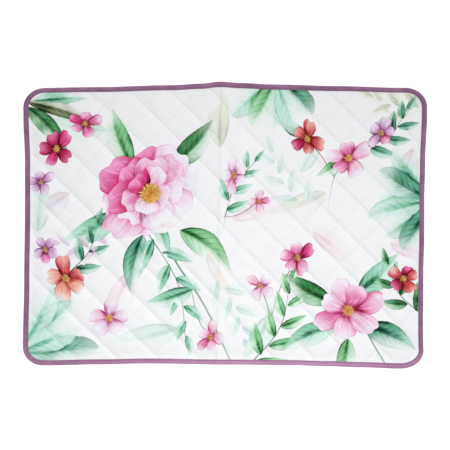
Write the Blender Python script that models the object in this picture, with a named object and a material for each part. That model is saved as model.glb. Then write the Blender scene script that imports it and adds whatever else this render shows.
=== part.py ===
"""Fabric placemat: a diamond-quilted panel with rounded corners, edged with a bias binding.

Metres, +Z up. The mat lies flat on z = 0 with its long side along X, and a soft ridge stands
across its middle, where it was once folded in half. Both pieces are modelled flat, as they are
cut and sewn, and the same function then lays them over the ridge and into their uneven outline.
"""
import math

import bmesh
import bpy
from mathutils import Vector

MM = 0.001

# Plan of the mat as it lies, and the cloth that the ridge takes up along its length
LENGTH = 500 * MM
WIDTH = 350 * MM
RIDGE_TAKES_UP = 3.6 * MM
FLAT_LENGTH = LENGTH + RIDGE_TAKES_UP

# Corners anticlockwise from the bottom right: side along X, side along Y, radius along X and Y
CORNERS = (
    (1, -1, 30 * MM, 22 * MM),
    (1, 1, 26 * MM, 26 * MM),
    (-1, 1, 27 * MM, 27 * MM),
    (-1, -1, 23.5 * MM, 23.5 * MM),
)
CORNER_STEPS = 8
EDGE_STEP = 17 * MM

# How far each edge bows out of the plain rectangle: place along the edge, distance outwards (mm)
TOP_BOW = ((-250, -4.1), (-157, -2.7), (-67, -0.3), (-30, 1.6), (-7, 3.8),
           (20, 2.3), (60, 0.5), (142, -1.5), (217, -3.6), (250, -4.1))
BOTTOM_BOW = ((-250, -0.7), (-217, -0.5), (-157, -1.8), (-97, -2.9), (-8, -1.7),
              (82, -0.8), (127, 0.6), (172, 2.0), (217, 3.5), (250, 3.7))
LEFT_BOW = ((-175, 1.9), (-146, 1.7), (-71, 0.2), (18, -0.9), (78, -0.9), (138, 1.1), (175, 2.0))
RIGHT_BOW = ((-175, -2.0), (-131, -3.2), (-56, -2.8), (-12, -1.7), (33, -1.6),
             (78, -0.7), (138, 1.7), (175, 2.3))

# The ridge of the old fold: height above the surface, and distance from the fold line on the
# flat cloth to its left and right (mm). The line leans slightly from bottom to top.
FOLD_X = -5.7 * MM
FOLD_LEAN = 0.018
RIDGE_ROWS = (
    (3.4, 0.0, 0.0),
    (3.15, 1.0, 2.4),
    (2.6, 2.6, 8.0),
    (2.15, 4.4, 14.0),
    (1.75, 9.0, 24.0),
    (0.9, 20.0, 36.0),
    (0.0, 38.0, 50.0),
)
STEEP_ROW = 4   # the cloth is taken up between the fold line and this row

# Quilting: diamonds between two families of diagonal stitch lines
DIAMOND = 50 * MM                       # across the points of a diamond, both ways
STITCH_CROSSING = (-4.2 * MM, 0.75 * MM)
CUTS_PER_DIAMOND = (0.0, 0.2, 0.5, 0.8)
STITCHED_THICKNESS = 1.5 * MM
PUFF_HEIGHT = 1.7 * MM
PUFF_SHARES = ((1.0, 3.5), (0.5, 6.0))  # for each family: what its lines take away, and the flatness
PUFF_UNEVENNESS = 0.12
PUFF_WAVES = (71.0, 89.0)               # radians a metre, along X and Y

# Bias binding, in a section across the edge
GAP = 0.3 * MM
BINDING_CLOTH = 0.7 * MM
BINDING_FOLD = 1.0 * MM                 # cloth at the outer fold, where it is doubled over
BINDING_WIDTH = 6.5 * MM
PANEL_INSET = BINDING_FOLD + GAP
PANEL_EDGE_RISE = BINDING_CLOTH + GAP   # the panel's edge lies above the binding's lower layer
PANEL_EDGE_TOP = PANEL_EDGE_RISE + STITCHED_THICKNESS
PRESSED_WIDTH = BINDING_WIDTH + GAP     # the panel is pressed thin as far in as this
RAMP_END = 10.5 * MM                    # where its underside reaches the surface again
PUFF_FULL = 22 * MM                     # where its puffs reach their full height
LEVEL_ANGLE = math.radians(0.5)         # faces of the underside closer to one plane are joined

CUT_MERGE = 0.001 * MM                  # points closer than this are one

PRINTED_WHITE = (0.86, 0.86, 0.87, 1.0)
MAUVE = (0.30, 0.14, 0.26, 1.0)


def interpolate(rows, place):
    """Smooth height at a place in rows of (place, height), level at every row."""
    if place <= rows[0][0]:
        return rows[0][1]
    for (start, low), (end, high) in zip(rows, rows[1:]):
        if place <= end:
            t = (place - start) / (end - start)
            return low + (high - low) * t * t * (3 - 2 * t)
    return rows[-1][1]


def bow(rows, along, towards):
    """Outward shift of a point: full at the edge, none by the middle of the mat."""
    return interpolate(rows, along / MM) * MM * max(towards, 0.0) ** 3


def fold_line(y):
    """Place of the fold line along X at a place along Y."""
    return FOLD_X + FOLD_LEAN * y


def ridge_height(offset):
    """Height of the ridge at a signed distance from the fold line, straight between its rows."""
    side = 1 if offset < 0 else 2
    distance = abs(offset) / MM
    for upper, lower in zip(RIDGE_ROWS, RIDGE_ROWS[1:]):
        if distance <= lower[side]:
            t = (distance - upper[side]) / (lower[side] - upper[side])
            return (upper[0] + (lower[0] - upper[0]) * t) * MM
    return 0.0


def lay(x, y, z):
    """Moves a point of the flat mat to where it lies: over the ridge and out to the edges."""
    offset = x - fold_line(y)
    steep = RIDGE_ROWS[STEEP_ROW][1 if offset < 0 else 2] * MM
    taken = max(-1.0, min(1.0, offset / steep)) * RIDGE_TAKES_UP / 2
    laid_x = x - taken
    shift_x = (bow(RIGHT_BOW, y, 2 * laid_x / LENGTH)
               - bow(LEFT_BOW, y, -2 * laid_x / LENGTH))
    shift_y = (bow(TOP_BOW, laid_x, 2 * y / WIDTH)
               - bow(BOTTOM_BOW, laid_x, -2 * y / WIDTH))
    return Vector((laid_x + shift_x, y + shift_y, z + ridge_height(offset)))


def flat_outline(inset):
    """Points of the rounded outline of the flat mat, anticlockwise, drawn in by inset."""
    points = []
    for index, (side_x, side_y, radius_x, radius_y) in enumerate(CORNERS):
        centre_x = side_x * (FLAT_LENGTH / 2 - radius_x)
        centre_y = side_y * (WIDTH / 2 - radius_y)
        for step in range(CORNER_STEPS + 1):
            angle = math.pi / 2 * (index - 1 + step / CORNER_STEPS)
            points.append(Vector((centre_x + (radius_x - inset) * math.cos(angle),
                                  centre_y + (radius_y - inset) * math.sin(angle))))
    outline = []
    for point, following in zip(points, points[1:] + points[:1]):
        stretch = (following - point).length
        pieces = math.ceil(stretch / EDGE_STEP)
        outline += [point.lerp(following, piece / pieces) for piece in range(pieces)]
    return outline


def edge_distance(x, y):
    """Distance from a point of the flat mat in to its outline."""
    corner = next(row for row in CORNERS if row[0] * x >= 0 and row[1] * y >= 0)
    radius_x, radius_y = corner[2:]
    reach_x = FLAT_LENGTH / 2 - abs(x)
    reach_y = WIDTH / 2 - abs(y)
    if reach_x >= radius_x or reach_y >= radius_y:
        return min(reach_x, reach_y)
    share = math.hypot(1 - reach_x / radius_x, 1 - reach_y / radius_y)
    return (1 - share) * (radius_x + radius_y) / 2


def across_diamonds(x, y):
    """Place across each family of stitch lines, counted in diamonds from the crossing."""
    from_x = x - STITCH_CROSSING[0]
    from_y = y - STITCH_CROSSING[1]
    return (from_x + from_y) / DIAMOND, (from_x - from_y) / DIAMOND


def puff(x, y):
    """Rise of the padding above a stitch line, as a share of the full puff."""
    rise = 1.0
    for place, (depth, flatness) in zip(across_diamonds(x, y), PUFF_SHARES):
        rise *= 1 - depth * abs(2 * (place - math.floor(place)) - 1) ** flatness
    wave = math.sin(PUFF_WAVES[0] * x) * math.sin(PUFF_WAVES[1] * y)
    return rise * (1 + PUFF_UNEVENNESS * wave)


def underside(x, y):
    """Height of the flat mat's underside: on the surface, and raised inside the binding."""
    inside = (RAMP_END - edge_distance(x, y)) / (RAMP_END - PRESSED_WIDTH)
    return PANEL_EDGE_RISE * max(0.0, min(1.0, inside))


def thickness(x, y):
    """Thickness of the quilted panel: thin at stitch lines and under the binding."""
    freed = (edge_distance(x, y) - PRESSED_WIDTH) / (PUFF_FULL - PRESSED_WIDTH)
    return STITCHED_THICKNESS + PUFF_HEIGHT * puff(x, y) * math.sqrt(max(0.0, min(1.0, freed)))


def once_each(items):
    """The items without their repeats, in their own order."""
    return list(dict.fromkeys(items))


def cut(bm, faces, point, normal):
    """Cuts the given faces along the upright plane through a point."""
    edges = once_each(edge for face in faces for edge in face.edges)
    verts = once_each(vert for face in faces for vert in face.verts)
    bmesh.ops.bisect_plane(bm, geom=verts + edges + faces, dist=CUT_MERGE,
                           plane_co=(*point, 0), plane_no=(*normal, 0))


def cut_along_ridge(bm):
    """Cuts a flat piece along the fold line and along each row of the ridge."""
    offsets = {side * row[column] * MM for row in RIDGE_ROWS for side, column in ((-1, 1), (1, 2))}
    for offset in sorted(offsets):
        cut(bm, bm.faces[:], (FOLD_X + offset, 0), (1, -FOLD_LEAN))


def cut_along_quilting(bm):
    """Cuts the panel inside its pressed edge along the stitch lines and between them."""
    reach = math.ceil((FLAT_LENGTH + WIDTH) / 2 / DIAMOND)
    for direction in (1, -1):
        for diamond in range(-reach, reach):
            for share in CUTS_PER_DIAMOND:
                along = (diamond + share) * DIAMOND
                inner = [face for face in bm.faces
                         if edge_distance(*face.calc_center_median().xy) > RAMP_END]
                cut(bm, inner, (STITCH_CROSSING[0] + along, STITCH_CROSSING[1]), (1, direction))


def principled(name, colour, roughness):
    material = bpy.data.materials.new(name)
    material.use_nodes = True
    shader = material.node_tree.nodes["Principled BSDF"]
    shader.inputs["Base Color"].default_value = colour
    shader.inputs["Roughness"].default_value = roughness
    shader.inputs["Metallic"].default_value = 0.0
    material.diffuse_color = colour
    return material


def add_part(name, bm, collection, material):
    bmesh.ops.triangulate(bm, faces=bm.faces)
    bmesh.ops.recalc_face_normals(bm, faces=bm.faces)
    mesh = bpy.data.meshes.new(name)
    bm.to_mesh(mesh)
    bm.free()
    mesh.materials.append(material)
    collection.objects.link(bpy.data.objects.new(name, mesh))


def merge_level_faces(bm, faces):
    """Joins neighbouring faces of the underside that lie in one plane."""
    kept = {vert for face in set(bm.faces) - set(faces) for vert in face.verts}
    verts = once_each(vert for face in faces for vert in face.verts if vert not in kept)
    edges = once_each(edge for vert in verts for edge in vert.link_edges)
    bmesh.ops.dissolve_limit(bm, angle_limit=LEVEL_ANGLE, verts=verts, edges=edges)


def build_panel(collection):
    """Quilted panel: one flat outline, cut along its lines, given its thickness and laid."""
    bm = bmesh.new()
    outline = [bm.verts.new((*point, 0)) for point in flat_outline(PANEL_INSET)]
    sheet = bm.faces.new(outline)
    sheet.normal_update()
    for width in (PRESSED_WIDTH - PANEL_INSET, RAMP_END - PRESSED_WIDTH):
        bmesh.ops.inset_region(bm, faces=[sheet], thickness=width,
                               use_boundary=True, use_even_offset=True)
    cut_along_ridge(bm)
    cut_along_quilting(bm)
    bmesh.ops.triangulate(bm, faces=bm.faces)

    extruded = bmesh.ops.extrude_face_region(bm, geom=bm.faces[:])
    top = {item for item in extruded["geom"] if isinstance(item, bmesh.types.BMVert)}
    for vert in bm.verts:
        x, y = vert.co.xy
        rise = thickness(x, y) if vert in top else 0.0
        vert.co = lay(x, y, underside(x, y) + rise)
    bmesh.ops.recalc_face_normals(bm, faces=bm.faces)
    below = [face for face in bm.faces if top.isdisjoint(face.verts)]
    merge_level_faces(bm, below)
    add_part("quilted_panel", bm, collection, principled("printed_cotton", PRINTED_WHITE, 0.85))


def binding_section():
    """Section of the folded strip: distance in from the outer edge, height (mm)."""
    cloth = BINDING_CLOTH / MM
    fold = BINDING_FOLD / MM
    width = BINDING_WIDTH / MM
    ceiling = (PANEL_EDGE_TOP + GAP) / MM
    outer = ((width, 0.0), (1.2, 0.0), (0.3, 0.5), (0.0, 1.7), (0.3, 2.9), (1.4, 3.65),
             (3.2, 3.95), (5.0, 3.7), (width, ceiling + 0.35))
    inner = ((width, ceiling), (fold, ceiling), (fold, cloth), (width, cloth))
    return [(x * MM, z * MM) for x, z in outer + inner]


def poly_curve(name, points):
    """A closed curve through points of the flat plane."""
    curve = bpy.data.curves.new(name, "CURVE")
    curve.dimensions = "2D"
    curve.fill_mode = "NONE"
    spline = curve.splines.new("POLY")
    spline.points.add(len(points) - 1)
    for target, (x, y) in zip(spline.points, points):
        target.co = (x, y, 0, 1)
    spline.use_cyclic_u = True
    return curve


def build_binding(collection, guides):
    """Bias binding: its section carried along the outline, and laid like the panel."""
    section = bpy.data.objects.new("binding_section", poly_curve("binding_section", binding_section()))
    section.hide_render = True
    section.display_type = "WIRE"
    guides.objects.link(section)
    path = poly_curve("binding_path", flat_outline(0.0))
    path.bevel_mode = "OBJECT"
    path.bevel_object = section
    carrier = bpy.data.objects.new("binding_path", path)
    guides.objects.link(carrier)
    evaluated = carrier.evaluated_get(bpy.context.evaluated_depsgraph_get())
    bm = bmesh.new()
    bm.from_mesh(bpy.data.meshes.new_from_object(evaluated))
    bpy.data.objects.remove(carrier)

    bmesh.ops.remove_doubles(bm, verts=bm.verts, dist=CUT_MERGE)
    cut_along_ridge(bm)
    for vert in bm.verts:
        vert.co = lay(*vert.co)
    add_part("bias_binding", bm, collection, principled("mauve_cotton", MAUVE, 0.8))


def main():
    for old in list(bpy.data.objects):
        bpy.data.objects.remove(old)
    placemat = bpy.data.collections.new("placemat")
    guides = bpy.data.collections.new("guides")
    bpy.context.scene.collection.children.link(placemat)
    bpy.context.scene.collection.children.link(guides)
    build_panel(placemat)
    build_binding(placemat, guides)


main()
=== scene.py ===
import math

import bpy
import numpy as np
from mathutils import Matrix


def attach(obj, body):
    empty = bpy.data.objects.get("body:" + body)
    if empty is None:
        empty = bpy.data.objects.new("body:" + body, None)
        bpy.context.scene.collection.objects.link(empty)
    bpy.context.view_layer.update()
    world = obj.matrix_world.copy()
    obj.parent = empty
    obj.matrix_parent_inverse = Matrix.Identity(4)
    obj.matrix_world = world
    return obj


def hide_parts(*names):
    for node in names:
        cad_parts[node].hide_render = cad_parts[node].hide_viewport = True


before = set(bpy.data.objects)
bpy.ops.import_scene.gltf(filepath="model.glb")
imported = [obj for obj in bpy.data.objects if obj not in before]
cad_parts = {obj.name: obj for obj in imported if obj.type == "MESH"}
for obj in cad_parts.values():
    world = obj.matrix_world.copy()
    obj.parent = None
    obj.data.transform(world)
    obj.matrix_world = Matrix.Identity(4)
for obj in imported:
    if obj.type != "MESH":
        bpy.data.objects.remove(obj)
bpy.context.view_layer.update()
print("frame loaded:", sorted(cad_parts))

# Every length below is in millimetres; the meshes are made in metres.
metre = 0.001

matPlan = {
    "length": 500.0,
    "width": 350.0,
    "ridgeTakesUp": 3.6,        # cloth along the length that the ridge uses
    # side along X, side along Y, corner radius along X and along Y
    "corners": ((1, -1, 30, 22), (1, 1, 26, 26), (-1, 1, 27, 27), (-1, -1, 23.5, 23.5)),
    # place along the edge, distance outside the plain rectangle
    "topBow": ((-250, -4.1), (-157, -2.7), (-67, -0.3), (-30, 1.6), (-7, 3.8),
               (20, 2.3), (60, 0.5), (142, -1.5), (217, -3.6), (250, -4.1)),
    "bottomBow": ((-250, -0.7), (-217, -0.5), (-157, -1.8), (-97, -2.9), (-8, -1.7),
                  (82, -0.8), (127, 0.6), (172, 2.0), (217, 3.5), (250, 3.7)),
    "leftBow": ((-175, 1.9), (-146, 1.7), (-71, 0.2), (18, -0.9), (78, -0.9), (138, 1.1),
                (175, 2.0)),
    "rightBow": ((-175, -2.0), (-131, -3.2), (-56, -2.8), (-12, -1.7), (33, -1.6),
                 (78, -0.7), (138, 1.7), (175, 2.3)),
}
ridge = {
    "x": -5.7,                  # where the fold line crosses the middle
    "lean": 0.018,
    "steepLeft": 9.0,           # the cloth is taken up this far either side of the line
    "steepRight": 24.0,
    # distance from the line to its left and right, and the height there
    "leftAt": (0.0, 1.0, 2.6, 4.4, 9.0, 20.0, 38.0),
    "rightAt": (0.0, 2.4, 8.0, 14.0, 24.0, 36.0, 50.0),
    "height": (3.4, 3.15, 2.6, 2.15, 1.75, 0.9, 0.0),
    "softness": 0.8,            # how far the corners between those heights are rounded
}


# Rises from 0 to 1 with level ends: t squared times 3 minus 2t.
def smoothStep(t):
    t = np.clip(t, 0.0, 1.0)
    return t * t * (3 - 2 * t)


# The same step, from the first value to the second.
def between(value, first, second):
    return smoothStep((value - first) / (second - first))


# A bump of height 1: e^-((value - middle) / width)^2.
def bell(value, middle, width):
    return np.exp(-((value - middle) / width) ** 2)


# Value at a place in rows of (place, value), level at every row.
def alongRows(rows, place):
    at, value = np.array(rows, float).T
    place = np.clip(place, at[0], at[-1])
    step = np.clip(np.searchsorted(at, place, side="right") - 1, 0, len(at) - 2)
    t = smoothStep((place - at[step]) / (at[step + 1] - at[step]))
    return value[step] + (value[step + 1] - value[step]) * t


# Shift of the edge, falling away with the cube of the distance from it.
def bow(rows, along, towards):
    return alongRows(rows, along) * np.clip(towards, 0.0, None) ** 3


# The ridge's height against the distance from its line, rounded by a Gaussian.
def ridgeProfile():
    reach, step = 80.0, 0.25
    fine = np.arange(-reach, reach + step / 2, step)
    height = np.where(fine < 0, np.interp(-fine, ridge["leftAt"], ridge["height"]),
                      np.interp(fine, ridge["rightAt"], ridge["height"]))
    spread = np.arange(-6.0, 6.0 + step / 2, step)
    weight = np.exp(-0.5 * (spread / ridge["softness"]) ** 2)
    return fine, np.convolve(np.pad(height, len(spread) // 2), weight / weight.sum(), "valid")


ridgeAt, ridgeRise = ridgeProfile()


# Takes points of the flat mat to where they lie: over the ridge and out to the uneven edge.
def layDown(x, y, z):
    offset = x - ridge["x"] - ridge["lean"] * y
    steep = np.where(offset < 0, ridge["steepLeft"], ridge["steepRight"])
    laidX = x - np.clip(offset / steep, -1, 1) * matPlan["ridgeTakesUp"] / 2
    shareX = 2 * laidX / matPlan["length"]
    shareY = 2 * y / matPlan["width"]
    shiftX = bow(matPlan["rightBow"], y, shareX) - bow(matPlan["leftBow"], y, -shareX)
    shiftY = bow(matPlan["topBow"], laidX, shareY) - bow(matPlan["bottomBow"], laidX, -shareY)
    return np.stack([laidX + shiftX, y + shiftY, z + np.interp(offset, ridgeAt, ridgeRise)], axis=-1)


flatHalfLength = (matPlan["length"] + matPlan["ridgeTakesUp"]) / 2
halfWidth = matPlan["width"] / 2


# Radius along X and along Y of the corner nearest to each point.
def cornerRadii(x, y):
    found = np.zeros((2,) + np.broadcast(x, y).shape)
    for sideX, sideY, radiusX, radiusY in matPlan["corners"]:
        here = ((x < 0) == (sideX < 0)) & ((y < 0) == (sideY < 0))
        found[0][here], found[1][here] = radiusX, radiusY
    return found


# Distance in from the flat outline: to the nearer side, or to the corner's ellipse.
def edgeDistance(x, y):
    radiusX, radiusY = cornerRadii(x, y)
    inX = flatHalfLength - np.abs(x)
    inY = halfWidth - np.abs(y)
    share = np.hypot(1 - inX / radiusX, 1 - inY / radiusY)
    inCorner = (inX < radiusX) & (inY < radiusY)
    return np.where(inCorner, (1 - share) * (radiusX + radiusY) / 2, np.minimum(inX, inY))


# Smooth random field between -1 and 1: random values on a grid, blended between its points.
def softNoise(x, y, size, seed):
    cells, middle = 64, 200
    table = np.random.default_rng(seed).uniform(-1, 1, (cells, cells))
    atX, atY = x / size + middle, y / size + middle
    left, low = np.floor(atX).astype(int), np.floor(atY).astype(int)
    tx, ty = smoothStep(atX - left), smoothStep(atY - low)
    rows = []
    for row in (low % cells, (low + 1) % cells):
        rows.append(table[row, left % cells] * (1 - tx) + table[row, (left + 1) % cells] * tx)
    return rows[0] * (1 - ty) + rows[1] * ty


# Height or share of each unevenness, its size in millimetres, and the number that picks its field.
unevenness = {
    "puffs": (0.16, 34, 3),
    "fineCreases": (0.2, 9, 8),
    "broadCreases": (0.3, 17, 9),
    "firstLines": (0.018, 70, 31),      # how far the stitch lines stray, in diamonds
    "secondLines": (0.018, 70, 32),
    "firstGathers": (3, 14, 5),         # shifts of waves, in radians
    "secondGathers": (3, 14, 6),
    "edgePulls": (2, 40, 4),
    "bindingRipples": (4, 30, 21),
    "bindingEdge": (0.35, 26, 22),
}


# One of those fields at places in millimetres.
def uneven(name, x, y):
    height, size, seed = unevenness[name]
    return height * softNoise(x, y, size, seed)


# A smooth mesh from points in millimetres and rows of four or three of their numbers.
def makeMesh(name, points, quads, triangles=(), uv=None, quilt=None):
    quads = np.asarray(quads, np.int32).reshape(-1, 4)
    triangles = np.asarray(triangles, np.int32).reshape(-1, 3)
    corners = np.concatenate([quads.ravel(), triangles.ravel()])
    sides = np.repeat((4, 3), (len(quads), len(triangles)))
    starts = np.cumsum(sides) - sides
    mesh = bpy.data.meshes.new(name)
    mesh.vertices.add(len(points))
    mesh.vertices.foreach_set("co", (np.asarray(points) * metre).astype(np.float32).ravel())
    mesh.loops.add(len(corners))
    mesh.loops.foreach_set("vertex_index", corners)
    mesh.polygons.add(len(starts))
    mesh.polygons.foreach_set("loop_start", starts.astype(np.int32))
    mesh.polygons.foreach_set("use_smooth", np.ones(len(starts), bool))
    mesh.update(calc_edges=True)
    mesh.validate()
    for label, places in (("cloth", uv), ("quilt", quilt)):
        if places is not None:
            layer = mesh.uv_layers.new(name=label)
            layer.data.foreach_set("uv", np.asarray(places, np.float32)[corners].ravel())
    piece = bpy.data.objects.new(name, mesh)
    bpy.context.scene.collection.objects.link(piece)
    return piece


# Quads of a grid whose points are numbered row by row; closed joins last to first.
def gridQuads(rows, columns, first=0, flip=False, closed=(False, False)):
    number = np.arange(rows * columns).reshape(rows, columns) + first
    if closed[0]:
        number = np.concatenate([number, number[:1]], axis=0)
    if closed[1]:
        number = np.concatenate([number, number[:, :1]], axis=1)
    quads = np.stack([number[:-1, :-1], number[:-1, 1:], number[1:, 1:], number[1:, :-1]], axis=-1)
    return (quads[..., ::-1] if flip else quads).reshape(-1, 4)


# Links a socket to another, or sets its number, vector or colour.
def feed(tree, socket, value):
    if isinstance(value, bpy.types.NodeSocket):
        tree.links.new(value, socket)
    else:
        socket.default_value = value


def calc(tree, operation, *values):
    node = tree.nodes.new("ShaderNodeMath")
    node.operation = operation
    for socket, value in zip(node.inputs, values):
        feed(tree, socket, value)
    return node.outputs[0]


# Product of two or more sockets or numbers.
def times(tree, first, *others):
    for other in others:
        first = calc(tree, "MULTIPLY", first, other)
    return first


# How far a value is from the middle, without its sign.
def distanceFrom(tree, value, middle):
    return calc(tree, "ABSOLUTE", calc(tree, "SUBTRACT", value, middle))


# Lays over on under by a share, mixed or in another blend mode.
def mixColour(tree, share, under, over, mode="MIX"):
    node = tree.nodes.new("ShaderNodeMix")
    node.data_type = "RGBA"
    node.blend_type = mode
    feed(tree, node.inputs["Factor"], share)
    feed(tree, node.inputs[6], under)
    feed(tree, node.inputs[7], over)
    return node.outputs[2]


# Straight change from atLow at low to atHigh at high, level outside.
def ramp(tree, value, low, high, atLow=0.0, atHigh=1.0):
    node = tree.nodes.new("ShaderNodeMapRange")
    limits = {"From Min": low, "From Max": high, "To Min": atLow, "To Max": atHigh}
    for label, number in limits.items():
        node.inputs[label].default_value = number
    feed(tree, node.inputs["Value"], value)
    return node.outputs[0]


# The same for a place on the mat, with low and high in millimetres.
def rampOver(tree, place, low, high, *ends):
    return ramp(tree, place, low * metre, high * metre, *ends)


def noise(tree, vector, scale, detail=2.0, roughness=0.5):
    node = tree.nodes.new("ShaderNodeTexNoise")
    node.inputs["Scale"].default_value = scale
    node.inputs["Detail"].default_value = detail
    node.inputs["Roughness"].default_value = roughness
    feed(tree, node.inputs["Vector"], vector)
    return node.outputs["Fac"]


def vectorMath(tree, operation, *values):
    node = tree.nodes.new("ShaderNodeVectorMath")
    node.operation = operation
    for socket, value in zip(node.inputs, values):
        feed(tree, socket, value)
    return node.outputs["Value" if operation == "LENGTH" else "Vector"]


def joinXyz(tree, x, y, z):
    node = tree.nodes.new("ShaderNodeCombineXYZ")
    for socket, value in zip(node.inputs, (x, y, z)):
        feed(tree, socket, value)
    return node.outputs[0]


def splitXyz(tree, vector):
    node = tree.nodes.new("ShaderNodeSeparateXYZ")
    feed(tree, node.inputs[0], vector)
    return node.outputs


def readAttribute(tree, name):
    node = tree.nodes.new("ShaderNodeAttribute")
    node.attribute_name = name
    return node.outputs


# An empty node group with its named inputs and outputs, each as (name, kind of socket).
def newGroup(name, inputs, outputs):
    group = bpy.data.node_groups.new(name, "ShaderNodeTree")
    for side, sockets in (("INPUT", inputs), ("OUTPUT", outputs)):
        for label, kind in sockets:
            group.interface.new_socket(name=label, in_out=side, socket_type="NodeSocket" + kind)
    source = group.nodes.new("NodeGroupInput")
    target = group.nodes.new("NodeGroupOutput")
    return group, source.outputs, target.inputs


def useGroup(tree, group, **values):
    node = tree.nodes.new("ShaderNodeGroup")
    node.node_tree = group
    for label, value in values.items():
        feed(tree, node.inputs[label], value)
    return node.outputs


# A matt cloth-like material; its colour and relief are fed in afterwards.
def newMaterial(name, roughness, sheen=0.0, specular=0.25):
    material = bpy.data.materials.new(name)
    material.use_nodes = True
    shader = material.node_tree.nodes["Principled BSDF"]
    shader.inputs["Roughness"].default_value = roughness
    shader.inputs["Specular IOR Level"].default_value = specular
    shader.inputs["Sheen Weight"].default_value = sheen
    shader.inputs["Sheen Roughness"].default_value = 0.5
    return material, material.node_tree, shader


# Display colour, 0 to 255, to the light it stands for.
def linear(colour):
    share = np.array(colour, float) / 255
    return np.where(share <= 0.04045, share / 12.92, ((share + 0.055) / 1.055) ** 2.4)


def fourOf(colour):
    return (*linear(colour), 1.0)


# The print is worked out point by point, in layers from back to front.
printLayers = 10
stemsUnder = 1                  # the layer that the stems lie just under
farAway = -30.0                 # edge distance where a layer has no ink
# what the third number of a form says; a leaf has the strength of its veins there, 0 to 1
formKind = {"petal": -1.0, "centre": 3.0}

# base, body and tip of each tint
tints = {
    "mint": ((44, 112, 76), (136, 198, 166), (202, 236, 220)),
    "mintPale": ((122, 188, 156), (186, 227, 208), (224, 243, 234)),
    "teal": ((8, 58, 40), (80, 150, 118), (168, 216, 194)),
    "spring": ((18, 90, 32), (118, 184, 128), (204, 237, 206)),
    "green": ((6, 44, 16), (50, 118, 64), (148, 205, 158)),
    "olive": ((24, 34, 16), (98, 114, 74), (194, 204, 166)),
    "yellowGreen": ((100, 128, 52), (188, 202, 134), (230, 236, 204)),
    "hotPink": ((122, 4, 44), (214, 58, 124), (240, 156, 200)),
    "pink": ((166, 24, 76), (228, 132, 178), (246, 216, 232)),
    "palePink": ((204, 86, 138), (240, 194, 217), (250, 235, 242)),
    "whitePink": ((204, 124, 168), (238, 214, 230), (251, 244, 247)),
    "lilac": ((158, 82, 146), (214, 172, 208), (239, 222, 238)),
    "magenta": ((92, 2, 26), (184, 34, 86), (228, 124, 168)),
    "coral": ((136, 12, 26), (206, 84, 88), (240, 178, 168)),
    "peach": ((194, 84, 78), (234, 166, 150), (248, 222, 212)),
    "gold": ((124, 66, 18), (208, 126, 50), (236, 178, 104)),
    "mustard": ((86, 48, 16), (172, 112, 50), (222, 180, 116)),
    "stem": ((84, 122, 92), (124, 162, 134), (166, 198, 172)),
    "twig": ((98, 66, 46), (150, 112, 86), (184, 156, 126)),
    "sand": ((178, 138, 108), (226, 202, 180), (242, 232, 220)),
}


# Layers without ink, at every point of the face.
def emptyInk(x, y):
    white = np.ones(x.shape + (3,))
    layers = [{"edge": np.full(x.shape, farAway), "colour": white.copy(), "form": np.zeros(x.shape + (4,))}
              for _ in range(printLayers)]
    stems = {"far": np.full(x.shape, -farAway), "side": np.full(x.shape, -farAway),
             "colour": white, "half": np.zeros(x.shape)}
    return {"x": x, "y": y, "layers": layers, "stems": stems}


# A shape's values stay wherever it lies deeper inside than what its layer already holds.
def layInk(ink, level, near, edge, colour, along, across, kind, strength):
    layer = ink["layers"][level]
    wins = edge > layer["edge"][near]
    picked = np.zeros_like(near)
    picked[near] = wins
    layer["edge"][picked] = edge[wins]
    layer["colour"][picked] = colour[wins]
    form = np.stack(np.broadcast_arrays(along, across, kind, strength), axis=-1)
    layer["form"][picked] = form[wins]


# Base to body to tip: two blends that follow each other.
def threeTones(tint, tone):
    middle = 0.33               # where the body's own tint stands
    base, body, tip = (linear(part) for part in tints[tint])
    lower = between(tone, 0, middle)[..., None]
    upper = between(tone, middle, 1)[..., None]
    return (base * (1 - lower) + body * lower) * (1 - upper) + tip * upper


# Turns a pair of lengths to an angle in degrees.
def turned(along, aside, angle):
    across, up = math.cos(math.radians(angle)), math.sin(math.radians(angle))
    return along * across + aside * up, aside * across - along * up


# Points near a shape, in its own directions. squash is (direction, share): the flower is turned
# to that direction, divided by the share across it, and turned back.
def localPlace(ink, place, angle, reach, squash=(0.0, 1.0)):
    near = (np.abs(ink["x"] - place[0]) < reach) & (np.abs(ink["y"] - place[1]) < reach)
    along, aside = turned(ink["x"][near] - place[0], ink["y"][near] - place[1], squash[0])
    return near, *turned(along, aside / squash[1], angle - squash[0])


thinnest = 1.5      # half width below which a shape counts as this wide, so that its tip stays calm
leafInk = {
    "edgeSlope": 0.93,          # true distance from the edge, as a share of the distance across
    "waves": 26,                # of a wavy edge, in radians along the leaf
    "wash": 0.2,                # size of the watercolour's patches, as a share of the length
    # across the leaf, from -1 to 1: where the lit side begins, the midrib and its width, and
    # where the shaded edge begins
    "lit": (-0.2, 0.25),
    "midrib": (-0.14, 0.22),
    "shaded": (0.55, 1.0),
    # tone at the base, and what it gains or loses along the leaf and in those places
    "atBase": 0.25,
    "alongLeaf": 0.5,
    "litSide": 0.32,
    "inPatches": 0.24,
    "atMidrib": 0.6,
    "shadedEdge": 0.8,          # as a share of the midrib's
    # where the paint washes out: across, along with patches, and at the tip
    "lostAcross": (-0.15, 0.75),
    "lostAlong": (0.12, 0.72),
    "lostPatches": 0.25,
    "lostTip": (0.6, 1.0),
    "lostTipShare": 0.5,
}


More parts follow.
